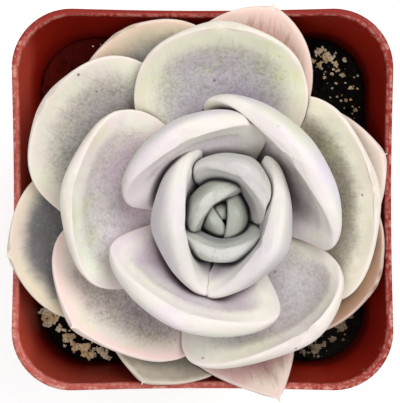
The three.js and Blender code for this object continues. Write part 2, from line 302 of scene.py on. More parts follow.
plastic = Finish("terracotta plastic", IOR=1.49, Specular_IOR_Level=0.2)
right_side, far_side, height_on_pot = (plastic.axis(letter) for letter in "XYZ")
cloud = plastic.grain(70, 5)
streak = plastic.grain(800, 3, stretch=(1, 1, 0.05))
fine = plastic.grain(5200, 3)
patchy = plastic.grain(380, 6, 0.7)
chafed = plastic.grain(1400, 5, 0.7)
red = plastic.blend(plastic.band(cloud, 0.3, 0.7) * 0.6, paint(pot_red), paint(pot_deep_red))
# Painted shade: the inner wall darkens to near black towards the mix, less so in the far left corner.
painted_wall_shade = plastic.own("inside") * plastic.band(height_on_pot, 0.0465, 0.0432)
far_corner = plastic.band(far_side - right_side, 0.0330, 0.0430)
red = plastic.blend(painted_wall_shade * (0.65 - 0.5 * far_corner), red, paint(pot_shade_red))
drag = plastic.band(streak, 0.6, 0.78) * plastic.band(height_on_pot, 0.0500, 0.0540)
red = plastic.blend(drag * 0.22, red, paint(pot_scuff))
lit_side = plastic.band(right_side + far_side, 0.0100, -0.0300)
# Dust, with painted light: the upper inner wall on the side that faces the lamp is lightened.
dust_and_painted_light = lit_side * plastic.band(height_on_pot, 0.0445, 0.0510) * (0.5 + cloud)
red = plastic.blend(dust_and_painted_light * 0.3, red, paint(pot_dust_and_light))
# Painted light: the upper part of the left inner wall is painted a lighter red, as if lit.
painted_light_left_wall = plastic.own("inside") * plastic.band(right_side, -0.0262, -0.0280)
painted_light_left_wall = painted_light_left_wall * plastic.band(height_on_pot, 0.0450, 0.0500)
red = plastic.blend(painted_light_left_wall * 0.75, red, paint(pot_lit_wall_red))
lip = plastic.band(height_on_pot, pot_height - 0.0008, pot_height - 0.0003)
# Painted highlight on the lip, strongest on the side that faces the lamp, and painted shade on its far side.
red = plastic.blend(lip * (0.08 + 0.6 * lit_side), red, paint(pot_lip_highlight_red))
red = plastic.blend(lip * (1 - lit_side) * 0.55, red, paint(pot_lip_shade_red))
# A pale line along the inner edge of the lip: scuffs, and a painted highlight on the rounded edge.
inner_edge_scuff_and_highlight = lip * plastic.band(plastic.own("outward") + (patchy - 0.5) * 0.5, -0.75, -1.05)
red = plastic.blend(inner_edge_scuff_and_highlight * plastic.band(chafed, 0.4, 0.62) * 0.3, red, paint(pot_scuff))
edge_worn = plastic.band(plastic.own("outward") + (patchy - 0.5) * 0.9, -0.9, -0.45)
scuffed = lip * edge_worn * plastic.band(patchy * 0.6 + chafed, 0.74, 0.94)
scuffed = scuffed * plastic.band(far_side, 0.0300, 0.0220)
red = plastic.blend(scuffed * 0.6, red, paint(pot_scuff))
plastic.feed("Base Color", red)
plastic.feed("Roughness", 0.4 + cloud * 0.14 + scuffed * 0.2 + fine * 0.05)
plastic.bump(fine * 0.4 + streak * 0.6, 0.00006, 0.5)
settle(pot, plastic)
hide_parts("pot")


# The potting mix is dark peat with coarse sand, poured in loose and settled just under the collar.
# Its top is lumpy, and crumbs of peat lie on it. In the far left corner it is painted dark red, as red light
# thrown back from the wall.
# Tan pumice grains were strewn over it and have gathered in the corners that the leaves leave open.
peat_dark = "060403"
peat_brown = "140e09"
peat_painted_red = "4c0803"
pumice_tan = "eecb98"
pumice_pale = "fbeed4"
pumice_shade = "7a5f40"
pumice_painted_shade = "40382a"
peat_voxel = 0.0006
peat_skin_depth = 0.0035
peat_reach = 0.0255
peat_lumps = 0.0006
peat_crumble = 0.00035
peat_sunk = 0.0002
crumb_count = 900
crumb_sizes = (0.00028, 0.00035, 0.00045, 0.0006)
crumb_reach = 0.0252
stone_scale = 0.82
rosette = Vector((0.0029, -0.0023, 0.0))
# Where the larger pumice stones lie, x and y, and their size, all in millimetres.
pumice_stones = [
    (20.3, 23.1, 0.95), (18.9, 24.1, 0.6), (21.7, 22.0, 0.5), (19.0, 21.9, 0.5), (18.1, 22.8, 0.5),
    (22.8, 20.4, 0.35), (24.2, 18.2, 0.35), (23.4, 16.2, 0.3), (25.0, 14.6, 0.35), (23.2, 22.8, 0.4),
    (-25.8, -18.4, 0.75), (-24.7, -19.6, 0.85), (-25.9, -19.5, 0.6), (-24.8, -18.3, 0.6), (-23.7, -18.4, 0.7),
    (-25.3, -20.4, 0.6), (-23.4, -21.2, 0.55), (-23.9, -19.3, 0.5), (-22.0, -22.6, 0.85), (-21.1, -22.4, 0.6),
    (-20.1, -23.8, 0.6), (-20.8, -24.3, 0.55), (-21.2, -23.5, 0.5), (-19.0, -24.0, 0.7), (-19.0, -25.1, 0.65),
    (-17.9, -25.2, 0.65), (-18.5, -25.8, 0.45), (-16.6, -24.6, 0.6), (-16.0, -25.3, 0.65),
    (-15.2, -25.8, 0.45),
    (22.6, -20.5, 1.1), (21.2, -22.6, 0.65), (23.6, -18.9, 0.7), (18.5, -24.2, 1.0), (17.3, -23.2, 0.7),
    (16.4, -24.8, 0.5), (19.8, -23.6, 0.45),
]
# Where finer grit lies: middle x and y, spread, how many grains, their size in metres.
grit_patches = [
    (0.0200, 0.0222, 0.0026, 26, 0.00024),
    (0.0228, 0.0188, 0.0030, 14, 0.00016),
    (0.0240, 0.0150, 0.0024, 12, 0.00016),
    (-0.0238, -0.0192, 0.0030, 12, 0.00028),
    (-0.0200, -0.0228, 0.0030, 12, 0.00028),
    (-0.0162, -0.0248, 0.0026, 8, 0.00025),
    (0.0215, -0.0205, 0.0030, 18, 0.0002),
    (0.0180, -0.0240, 0.0026, 22, 0.0002),
    (-0.0170, 0.0250, 0.0014, 4, 0.00015),
]

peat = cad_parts["soil"].copy()
peat.data = peat.data.copy()
peat.name = peat.data.name = "potting_mix"
bpy.context.scene.collection.objects.link(peat)
alone(peat)
bpy.ops.object.mode_set(mode="EDIT")
bpy.ops.mesh.select_all(action="SELECT")
bpy.ops.mesh.remove_doubles(threshold=1e-6)
bpy.ops.object.mode_set(mode="OBJECT")
applied(peat, "REMESH", mode="VOXEL", voxel_size=peat_voxel)
peat_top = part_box("soil")[1].z - peat_skin_depth
for vertex in peat.data.vertices:
    if vertex.co.z > peat_top and max(abs(vertex.co.x), abs(vertex.co.y)) < peat_reach:
        coarse = noise.noise(vertex.co * 420)
        crumbly = noise.noise(vertex.co * 1300 + Vector((5, 2, 1)))
        vertex.co.z += peat_lumps * coarse + peat_crumble * crumbly - peat_sunk
bpy.ops.object.shade_smooth()

mix = Finish("peat", Specular_IOR_Level=0.1)
clod = mix.grain(900, 6, 0.65)
dust = mix.grain(4200, 3)
earth = mix.blend(mix.band(clod, 0.42, 0.72), paint(peat_dark), paint(peat_brown))
earth = mix.blend(mix.band(dust, 0.68, 0.76) * 0.4, earth, paint(pumice_shade))
# Painted reflection: the mix in the far left corner takes the red of the pot wall beside it.
painted_wall_reflection = mix.band(mix.axis("Y") - mix.axis("X"), 0.0310, 0.0460)
earth = mix.blend(painted_wall_reflection * 0.9, earth, paint(peat_painted_red))
mix.feed("Base Color", earth)
mix.feed("Roughness", 0.8 + dust * 0.2)
mix.bump(clod * 0.7 + dust * 0.3, 0.0004)
settle(peat, mix)
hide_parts("soil")

ground = BVHTree.FromObject(peat, bpy.context.evaluated_depsgraph_get())
draw = random.Random(11)


def ground_at(x, y):
    hit = ground.ray_cast(Vector((x, y, 0.06)), Vector((0, 0, -1)))[0]
    return hit.z if hit else peat_top


def strewn(name, faces, lumpy, places, rough=0.0):
    """One object of rough grains: one is modelled, and a copy with its own mesh lies at each place."""
    bpy.ops.object.select_all(action="DESELECT")
    bpy.ops.mesh.primitive_ico_sphere_add(subdivisions=faces, radius=1)
    model = bpy.context.object
    grains = []
    for x, y, z, size in places:
        copy = bpy.data.objects.new(name, model.data.copy())
        bpy.context.scene.collection.objects.link(copy)
        shift = Vector((draw.random(), draw.random(), draw.random())) * 50
        for vertex in copy.data.vertices:
            pits = noise.noise(vertex.co * 4.5 + shift) + 0.5 * noise.noise(vertex.co * 10 + shift)
            vertex.co *= 1 + lumpy * noise.noise(vertex.co * 1.4 + shift) + rough * pits
        spin = Matrix.Rotation(draw.uniform(0, 6.28), 4, Vector((draw.random(), draw.random(), 0.3)))
        stretch = Matrix.Diagonal((size * draw.uniform(0.8, 1.3), size, size * draw.uniform(0.6, 0.9), 1))
        copy.data.transform(Matrix.Translation((x, y, z)) @ stretch @ spin)
        grains.append(copy)
    bpy.data.objects.remove(model)
    bpy.ops.object.select_all(action="DESELECT")
    for copy in grains:
        copy.select_set(True)
    bpy.context.view_layer.objects.active = grains[0]
    bpy.ops.object.join()
    piece = bpy.context.object
    piece.name = piece.data.name = name
    bpy.ops.object.shade_smooth_by_angle(angle=math.radians(35))
    return piece


places = []
while len(places) < crumb_count:
    x, y = draw.uniform(-crumb_reach, crumb_reach), draw.uniform(-crumb_reach, crumb_reach)
    away = math.hypot(x - rosette.x, y - rosette.y)
    if away < 0.015 or abs(x) + abs(y) > 0.046:
        continue
    size = draw.choice(crumb_sizes)
    places.append((x, y, ground_at(x, y) + size * 0.2, size))
crumbs = strewn("peat_crumbs", 1, 0.6, places)
settle(crumbs, mix)

places = []
for x, y, spread, count, size in grit_patches:
    for i in range(count):
        angle = i * 2.4 + draw.uniform(0, 1)
        reach = spread * math.sqrt((i + 0.5) / count)
        gx, gy = x + reach * math.cos(angle), y + reach * math.sin(angle)
        if max(abs(gx), abs(gy)) > 0.0258 or abs(gx) + abs(gy) > 0.0470:
            continue
        lump = size * draw.uniform(0.5, 1.5)
        places.append((gx, gy, ground_at(gx, gy) + lump * draw.uniform(0.3, 0.9), lump))
grit = strewn("pumice_grit", 1, 0.5, places)
places = []
for x, y, size in pumice_stones:
    gx, gy, lump = x / 1000, y / 1000, size / 1000 * stone_scale
    places.append((gx, gy, ground_at(gx, gy) + 0.5 * lump, lump))
pumice = strewn("pumice_stones", 4, 0.8, places, rough=0.32)

stone = Finish("pumice", Specular_IOR_Level=0.2)
pit = stone.grain(2600, 5, 0.7)
tone = stone.grain(420, 4)
colour = stone.blend(stone.band(tone, 0.35, 0.65), paint(pumice_tan), paint(pumice_pale))
colour = stone.blend(stone.band(pit, 0.52, 0.34) * 0.85, colour, paint(pumice_shade))
# Painted shade: stones on the right side, most of all on the near side, are darkened as if in shadow.
near_side = stone.band(stone.axis("Y"), -0.0080, -0.0140)
painted_stone_shade = stone.band(stone.axis("X"), 0.0080, 0.0150) * (0.3 + 0.5 * near_side)
colour = stone.blend(painted_stone_shade, colour, paint(pumice_painted_shade))
stone.feed("Base Color", colour)
stone.feed("Roughness", 0.75 + pit * 0.25)
stone.bump(pit, 0.0003)
settle(grit, stone)
settle(pumice, stone)


# The stem is short, green and hidden under the rosette, with its foot rooted in the mix.
# It grows in one piece with the leaves and has faint rings where the oldest leaves were.
stem_green = "6d7350"
stem_brown = "8f8a6c"
stem_voxel = 0.0003
stem_scar_depth = 0.00008
stem_scar_turns = 3600
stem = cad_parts["stem"].copy()
stem.data = stem.data.copy()
stem.name = stem.data.name = "stem"
bpy.context.scene.collection.objects.link(stem)
alone(stem)
bpy.ops.object.mode_set(mode="EDIT")
bpy.ops.mesh.select_all(action="SELECT")
bpy.ops.mesh.remove_doubles(threshold=1e-6)
bpy.ops.object.mode_set(mode="OBJECT")
applied(stem, "REMESH", mode="VOXEL", voxel_size=stem_voxel)
for vertex in stem.data.vertices:
    out = Vector((vertex.co.x - rosette.x, vertex.co.y - rosette.y, 0))
    scar = math.sin(vertex.co.z * stem_scar_turns + 2 * noise.noise(vertex.co * 250))
    if out.length > 0.001:
        vertex.co += out.normalized() * stem_scar_depth * scar
bpy.ops.object.shade_smooth()
bark = Finish("green stem")
ring = bark.grain(1500, 4, stretch=(0.4, 0.4, 2.0))
bark.feed("Base Color", bark.blend(bark.band(ring, 0.35, 0.65), paint(stem_green), paint(stem_brown)))
bark.feed("Roughness", 0.6 + ring * 0.2)
bark.bump(ring, 0.0001)
settle(stem, bark)
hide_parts("stem")


# The seven oldest leaves lie lowest and lean out to the lip of the pot, three of them over it.
# Each is a flat, fleshy blade with a rounded margin and a short point, and grows from the stem.
# They have lost most of their bloom, so they are duller, with rose or tan margins.
stem_top_radius = 1.7
youngest_base = 55.0
base_spacing = 0.45
margin_share = 0.52
widest_at = 0.62
blade_end = 0.978
midrib_bend = 1.6
rows_along = 400
steps_across = 24
swell = 0.16
ripple = 0.06
allowed_past_solid = 0.0003
pressed_back_to = 0.00012
press_smoothing = 3
leaf_flush = "d3d6a0"
leaf_crest_highlight = "f3f0de"


def outline(along, base_share, point):
    """Half the width of a leaf along its length, as a share of the widest place."""
    rise = np.sin(np.pi / 2 * np.clip(along / widest_at, 0, 1))
    lower = base_share + (1 - base_share) * rise**1.25
    past = np.clip((along - widest_at) / (blade_end - widest_at), 0, 1)
    left = np.clip(1 - past ** (2.5 + (1.7 - 2.5) * point), 0, 1)
    return np.where(along < widest_at, lower, left ** (0.48 + (0.85 - 0.48) * point))


def half_width(leaf, along):
    """Half the width in millimetres, with the short spike of the tip and a slight unevenness."""
    base_share = 0.5 + (0.27 - 0.5) * min(1, leaf["order"] / 10)
    spike = 0.035 * leaf["spike"] * np.minimum(1, (1.01 - along) / 0.04)
    share = np.hypot(outline(along, base_share, leaf.get("point", 0)), spike)
    return leaf["width"] / 2 * share * (1 + 0.02 * np.sin(9 * along + 2.4 * leaf["order"]))


def rise_at(leaf, along):
    """How steeply the midrib rises at a place along it, from the start angle to the end angle."""
    return np.radians(leaf["start"] + (leaf["end"] - leaf["start"]) * along**midrib_bend)


def section_at(leaf, cup, half, across):
    """Where the middle surface of a leaf is: how far to the side, how high over the midrib, how steep."""
    power = 1 - leaf.get("fold", 0)
    reach, height = 0, 0
    for step in range(steps_across):
        tilt = cup * np.abs(across * (step + 0.5) / steps_across) ** power
        reach = reach + np.cos(tilt) * np.abs(across) * half / steps_across
        height = height + np.sin(tilt) * np.abs(across) * half / steps_across
    soft = np.abs(across) ** power * np.abs(across) / (np.abs(across) + 0.12 * leaf.get("fold", 0) + 1e-9)
    return np.sign(across) * reach, height, np.sign(across) * cup * soft


def leaf_points(leaf, along, across, upper):
    """Where each point of a leaf's skin is, in millimetres, and how far it is from the margin."""
    steps = np.linspace(0, 1, rows_along + 1)
    middles = (steps[1:] + steps[:-1]) / 2
    run = np.concatenate([[0], np.cumsum(np.cos(rise_at(leaf, middles)))]) * leaf["length"] / rows_along
    climb = np.concatenate([[0], np.cumsum(np.sin(rise_at(leaf, middles)))]) * leaf["length"] / rows_along
    spine_x = stem_top_radius * 0.5 + np.interp(along, steps, run)
    spine_z = youngest_base - base_spacing * leaf["order"] + np.interp(along, steps, climb)
    half = half_width(leaf, along)
    rim_at = np.stack([steps * leaf["length"], half_width(leaf, steps)], 1)
    rim_at = np.concatenate([rim_at, [[leaf["length"], 0.0]]])
    flat = np.stack([along * leaf["length"], np.abs(across) * half], 1)
    edge = np.sqrt(((flat[:, None, :] - rim_at[None, :, :]) ** 2).sum(2)).min(1)
    cup = math.radians(leaf["cup"]) * (0.55 + 0.45 * np.sin(np.pi * np.minimum(1, along)))
    body = leaf["thick"] * (0.62 + 0.38 * np.sin(np.pi * along**0.85))
    thick = np.minimum(body, half * (1.25 if leaf["spike"] else 2.0))
    rim = thick * margin_share / 2 + 1e-6
    bulge = np.sqrt(1 - (1 - np.minimum(1, edge / (1.7 * rim))) ** 2)
    roll = np.sqrt(1 - (1 - np.minimum(1, edge / (leaf["roll"] * rim))) ** 2)
    welt = leaf["welt"] * np.exp(-(((edge - leaf["welt_in"]) / (0.5 * leaf["welt_in"])) ** 2))
    inner = np.clip((edge - leaf["welt_in"]) / 7, 0, 1)
    basin = leaf["hollow"] * inner * inner * (3 - 2 * inner)
    reach, height, tilt = section_at(leaf, cup, half, across)
    brim = section_at(leaf, cup, half, np.ones_like(across))[1]
    above = rim * roll + welt - basin + leaf.get("fill", 0) * (brim - height)
    depth = np.where(upper, above, -rim * bulge - (thick - 2 * rim) * (1 - across**2))
    lateral = (reach - depth * np.sin(tilt)) * (1 + leaf.get("skew", 0) * across)
    normal = height + depth * np.cos(tilt)
    rise = rise_at(leaf, along)
    x = spine_x - np.sin(rise) * normal
    y = leaf.get("drift", 0) * along * along + lateral
    z = spine_z + np.cos(rise) * normal
    turn = math.radians(leaf["azimuth"])
    return np.stack(
        [
            rosette.x * 1000 + x * math.cos(turn) - y * math.sin(turn),
            rosette.y * 1000 + x * math.sin(turn) + y * math.cos(turn),
            z,
        ],
        1,
    ), edge


def held_in(mesh, node, points):
    """Presses a leaf in where its solid gives way to the leaves beside it, and smooths the change."""
    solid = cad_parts[node].data
    tree = BVHTree.FromPolygons([v.co for v in solid.vertices], [p.vertices for p in solid.polygons])
    push = np.zeros_like(points)
    for i, point in enumerate(points):
        near, normal, _, away = tree.find_nearest(Vector(point / 1000))
        if away > allowed_past_solid and (Vector(point / 1000) - near).dot(normal) > 0:
            push[i] = np.array(near + normal * pressed_back_to) * 1000 - point
    ends = np.empty(len(mesh.edges) * 2, int)
    mesh.edges.foreach_get("vertices", ends)
    a, b = ends[0::2], ends[1::2]
    count = np.bincount(ends, minlength=len(points))[:, None]
    for _ in range(press_smoothing):
        total = np.zeros_like(push)
        np.add.at(total, a, push[b])
        np.add.at(total, b, push[a])
        push = 0.5 * push + 0.5 * total / count
    return points + push


def grow(name, node, leaf, around=48, rings=44):
    """A leaf, made of a sphere whose poles become the base and the tip."""
    bpy.ops.object.select_all(action="DESELECT")
    bpy.ops.mesh.primitive_uv_sphere_add(segments=around, ring_count=rings, radius=1)
    piece = bpy.context.object
    piece.name = piece.data.name = name
    ball = np.array([v.co for v in piece.data.vertices])
    step = np.arccos(np.clip(-ball[:, 2], -1, 1)) / np.pi * rings
    along = 1 - (1 - np.clip((step - 1) / (rings - 1), 0, 1)) ** 1.7
    along *= blade_end + (1 - blade_end) * min(1, 2 * leaf["spike"])
    level = np.hypot(ball[:, 0], ball[:, 1])
    poles = level < 1e-5
    across = np.where(poles, 0, ball[:, 1] / np.maximum(level, 1e-9))
    upper = ball[:, 0] <= 1e-6
    points, edge = leaf_points(leaf, along, across, upper)
    middle_up, _ = leaf_points(leaf, along, across * 0, np.ones_like(upper))
    middle_down, _ = leaf_points(leaf, along, across * 0, np.zeros_like(upper))
    points = np.where(poles[:, None], (middle_up + middle_down) / 2, points)
    shift = Vector((leaf["order"] * 3.1, 0, 0))
    for i, point in enumerate(points):
        lump = noise.noise(Vector(point) * 0.22 + shift) * swell
        lump += noise.noise(Vector(point) * 0.6 + shift) * ripple
        wavy = 1 + 1.6 * math.exp(-edge[i] / 1.5) * min(1, leaf["order"] / 12)
        points[i] += np.array((0, 0, lump * wavy)) * min(1, along[i] * 3)
    if node:
        points = held_in(piece.data, node, points)
    piece.data.vertices.foreach_set("co", (points / 1000).ravel())
    face_up = np.where(upper, 1.0, 0.0)
    face_up[np.abs(across) > 0.999] = 0.5
    side = across * half_width(leaf, along)
    for title, values in (("edge", edge), ("along", along), ("upper", face_up), ("side", side)):
        own = piece.data.attributes.new(title, "FLOAT", "POINT")
        own.data.foreach_set("value", values.astype(np.float32))
    piece.data.update()
    applied(piece, "SUBSURF", levels=1, render_levels=1)
    alone(piece)
    bpy.ops.object.mode_set(mode="EDIT")
    bpy.ops.mesh.select_all(action="SELECT")
    bpy.ops.mesh.normals_make_consistent(inside=False)
    bpy.ops.object.mode_set(mode="OBJECT")
    bpy.ops.object.shade_smooth()
    return piece


def bloom(name, leaf):
    """Leaf skin: waxy bloom, thin in the middle and thick towards the margin, with a coloured edge, painted
    shade in creases and a painted highlight on the crest.
    """
    skin = Finish(name, IOR=1.42, Specular_IOR_Level=0.32, Sheen_Weight=0.08, Sheen_Roughness=0.5)
    edge, along, upper = skin.own("edge"), skin.own("along"), skin.own("upper")
    shift = leaf["order"] * 0.013
    cloud = skin.grain(150, 5, 0.6, shift=shift)
    mottle = skin.grain(620, 5, 0.65, shift=shift + 0.3)
    speck = skin.grain(2000, 4, 0.7, shift=shift)
    ragged = edge + (cloud - 0.5) * 4.5 + (mottle - 0.5) * 1.4
    inward = skin.band(ragged, 0.4, leaf["margin_in"] * 2)
    drift = skin.grain(85, 3, 0.5, shift=shift + 0.7)
    margin = skin.blend(skin.band(drift, 0.42, 0.6), paint(leaf["margin"]), paint(leaf["margin_rosy"]))
    middle = skin.blend(skin.band(drift, 0.4, 0.62) * 0.7, paint(leaf["middle"]), paint(leaf["base"]))
    colour = skin.blend(inward, margin, middle)
    # A lilac tint towards the base and in from the margin, partly painted shade where the leaves overlap.
    lilac_and_shade = skin.band(along + (cloud - 0.5) * 0.4, 0.85, 0.3) * skin.band(ragged, 1.0, 7.5) * leaf["lilac_and_shade"]
    colour = skin.blend(lilac_and_shade, colour, paint(leaf["base"]))
    green = skin.band(cloud, 0.5, 0.66) * skin.band(along, 0.5, 0.85) * leaf["green"]
    colour = skin.blend(green, colour, paint(leaf_flush))
    rosy = skin.band(edge + (mottle - 0.5) * 1.6, leaf["blush_in"], 0.1) * leaf["blush_share"]
    colour = skin.blend(rosy, colour, paint(leaf["blush"]))
    # Painted highlight: a cream band along the crest, a little in from the margin.
    crest_highlight = skin.band(edge, 0.3, leaf["crest_highlight_in"])
    crest_highlight = crest_highlight * skin.band(edge, leaf["crest_highlight_in"] + 2.8, leaf["crest_highlight_in"] * 0.8)
    crest_highlight = crest_highlight * skin.band(cloud + (mottle - 0.5) * 0.5, 0.3, 0.65) * leaf["crest_highlight"]
    colour = skin.blend(crest_highlight * 0.85, colour, paint(leaf_crest_highlight))
    stipple = skin.band(speck, 0.54, 0.36) * skin.band(ragged, 1.0, 6.0) * leaf["worn"]
    colour = skin.blend(stipple, colour, paint(leaf["bare"]))
    rubbed = skin.band(mottle, 0.5, 0.36) * skin.band(edge, 1.0, 6.0) * leaf["worn"] * 0.8
    colour = skin.blend(rubbed, colour, paint(leaf["bare"]))
    dusted = skin.band(speck, 0.55, 0.72) * skin.band(ragged, 0.5, 3.0) * 0.35
    colour = skin.blend(dusted, colour, paint(leaf["margin"]))
    lengthwise = skin.node("CombineXYZ", {}, {"X": along * 6 + shift * 40, "Y": skin.own("side")})
    fibre = {"Vector": lengthwise, "Scale": 0.8, "Detail": 6.0, "Roughness": 0.7, "Distortion": 1.2}
    fibre = skin.band(skin.node("TexNoise", {}, fibre, "Fac"), 0.5, 0.36) * skin.band(edge, 0.5, 2.5)
    colour = skin.blend(fibre * leaf["fibrous"], colour, paint(leaf["bare"]))
    scars = skin.node("TexVoronoi", {}, {"Vector": skin.place(), "Scale": 210.0}, "Distance")
    colour = skin.blend(skin.band(scars, 0.07, 0.03) * leaf["worn"] * 1.6, colour, paint(leaf["scar_and_crease_shade"]))
    line = skin.band(edge, 0.35, 0.05) * leaf["line_share"]
    colour = skin.blend(line, colour, paint(leaf["line"]))
    back = skin.blend(skin.band(cloud, 0.4, 0.62), paint(leaf["back"]), paint(leaf["back_warm"]))
    colour = skin.blend(skin.band(upper, 0.5, 0.0) * skin.band(edge, 0.6, 2.2) * 0.9, colour, back)
    # Painted shade: the colour darkens in creases and where leaves meet, as the occlusion node finds them,
    # darkest close in.
    near = skin.node("AmbientOcclusion", {"samples": 6}, {"Distance": leaf["crease_shade_reach"]}, "AO")
    colour = skin.blend(skin.band(near, 0.75, 0.2) * leaf["crease_shade_share"], colour, paint(leaf["scar_and_crease_shade"]))
    colour = skin.blend(skin.band(near, 0.42, 0.14) * 0.8, colour, paint(leaf["scar_and_crease_shade"], 0.3))
    skin.feed("Base Color", colour)
    skin.feed("Roughness", 0.54 + mottle * 0.16 + stipple * 0.1)
    skin.bump(mottle * 0.6 + speck * 0.4, 0.0001, 0.6)
    return skin


def leaf_set(rows, common):
    """Grows the leaves of one age, each in place of its plain solid.

    Lengths are in millimetres and angles in degrees. A key that ends in _in says how far in from
    the margin something lies, one that ends in _share how strong it is.
    """
    for row in rows:
        leaf = {**common, **row}
        node = "leaf_%02d" % (leaf["order"] - 1)
        name = "fine_" + node
        piece = grow(name, node, leaf)
        settle(piece, bloom("bloom " + node, leaf))
        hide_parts(node)


old = dict(
    spike=0.5, roll=1.7, welt=0.12, welt_in=2.2, hollow=0.4,
    middle="a8a29e", margin="dcd7c4", margin_rosy="dccabc", base="8f8389", blush="e8c4b8", bare="6f6a6a",
    line="f0e2d6", scar_and_crease_shade="3d2f2c", back="b9aea4", back_warm="c4b59c",
    margin_in=2.8, lilac_and_shade=0.5, green=0.25, blush_in=1.6, blush_share=0.5, crest_highlight_in=1.6, crest_highlight=0.2,
    worn=0.5, fibrous=0.25, line_share=0.5, crease_shade_reach=0.0016, crease_shade_share=0.8,
)
leaf_set(
    [
        dict(order=22, azimuth=20, length=29.5, width=24, start=16, end=36, cup=20, thick=2.9, point=0.6,
             middle="d2c4b8", margin="e6d8ca", worn=0.2, blush="ecd8ce"),
        # Painted shade: this low leaf has darker, greyer colours for the shade it lies in by the rim.
        dict(order=21, azimuth=245, length=31, width=24, start=14, end=34, cup=20, thick=2.9, point=0.7,
             middle="857d78", margin="a79d8c", margin_rosy="a3978a", base="6b6562", blush="d8cbb8",
             blush_in=0.8),
        dict(order=20, azimuth=118, length=34.5, width=26, start=12, end=32, cup=18, thick=3, spike=0.0,
             middle="96948e", margin="cbbb9f", margin_rosy="c9b5a0", worn=0.55),
        dict(order=19, azimuth=337, length=28.5, width=25, start=14, end=34, cup=20, thick=3, point=0.2,
             spike=0.2,
             middle="80685c", margin="9c7a5e", margin_rosy="94715d", base="7a655b", blush="b58f80",
             blush_share=0.5, green=0.0, crest_highlight=0.0, worn=0.65, bare="5c4a40"),
        dict(order=18, azimuth=191, length=35.5, width=26, start=10, end=32, cup=20, thick=3.1, point=0.3,
             spike=0.8,
             middle="77757a", margin="dbcfb6", margin_in=1.9, base="716d6d", blush="dcc8b4", blush_in=1.2),
        dict(order=17, azimuth=76, length=34.8, width=22, start=10, end=28, cup=22, thick=3.2, point=0.35,
             skew=0.15, spike=0.6,
             fibrous=0.6, middle="dcb0a6", margin="ecccc0", blush="f2d0c6", blush_share=0.8,
             base="c69a8e", green=0.0, worn=0.35, bare="b98f80"),
        dict(order=16, azimuth=281, length=31.5, width=18.5, start=10, end=32, cup=22, thick=3.3,
             point=1.15, drift=3.5, skew=-0.3, spike=1.0,
             fibrous=0.6, middle="a87d7c", margin="bf9795", blush="dcbab7", blush_share=0.5,
             base="a87f7d", green=0.0, worn=0.5, bare="936a68"),
    ],
    old,
)


# Six broad leaves lie over them and make the outer ring of the rosette.
# They are plump, spoon-shaped blades with a swollen cream margin and a dull lilac hollow, partly painted
# shade.
# A few have a rose or yellow-green flush, and the bloom is rubbed through in small specks.
broad = dict(
    spike=0.0, roll=3.0, welt=0.22, welt_in=3.0, hollow=0.7,
    middle="b6b2af", margin="e0dfcf", margin_rosy="e4dcd2", base="b3a2ae", blush="ecd9d2", bare="85807f",
    line="f2ece4", scar_and_crease_shade="583f44", back="dedbd0", back_warm="dcdccb",
    margin_in=4.8, lilac_and_shade=0.6, green=0.3, blush_in=1.2, blush_share=0.5, crest_highlight_in=2.4, crest_highlight=0.35,
    worn=0.34, fibrous=0.14, line_share=0.5, crease_shade_reach=0.0016, crease_shade_share=0.75,
)
leaf_set(
    [
        dict(order=15, azimuth=147, length=35.2, width=28, start=12, end=40, cup=24, thick=3.5,
             middle="a5a29c", margin="d8d6c4", margin_rosy="d8d0c4", base="9c9296", worn=0.5,
             bare="75726d"),
        dict(order=14, azimuth=9, length=27, width=33, start=12, end=50, cup=25, thick=3.7,
             middle="a59c8f", margin="dcd8c4", margin_rosy="ded5c3", base="8f8576", lilac_and_shade=0.8, green=0.6,
             crest_highlight_in=2.8, crest_highlight=1.0, bare="665d52", margin_in=4.2),
        dict(order=13, azimuth=223, length=31, width=29, start=11, end=42, cup=24, thick=3.7, point=0.6,
             drift=-3, spike=0.6,
             lilac_and_shade=0.3, worn=0.55, middle="d0c7bf", margin="e6dccf", margin_rosy="e4d2c8", blush="f2d0ca",
             blush_in=1.9, blush_share=0.85, crest_highlight=0.1),
        dict(order=12, azimuth=90, length=33, width=28, start=12, end=54, cup=26, thick=3.8,
             green=0.75, middle="bab7b5", base="bcaec6", margin="dcdcc2", margin_rosy="e0dac8", worn=0.42),
        # Painted light: this leaf's middle and base are painted lighter, for light on the part that faces
        # away from the lamps.
        dict(order=11, azimuth=303, length=29.3, width=28.5, start=9, end=84, cup=31, thick=3.9, drift=1,
             skew=-0.24,
             middle="c6c4c6", margin="e2e0d4", margin_rosy="e0d8d4", base="c4bac0", crest_highlight_in=2.8,
             crest_highlight=1.0, worn=0.32, margin_in=7.0),
        dict(order=10, azimuth=171.5, length=29.9, width=30, start=13, end=76, cup=32, thick=3.9,
             middle="d9d6d4", margin="e2e4d4", margin_rosy="e6dad6", base="cdb8c5", green=0.5, lilac_and_shade=0.75,
             worn=0.3),
    ],
    broad,
)


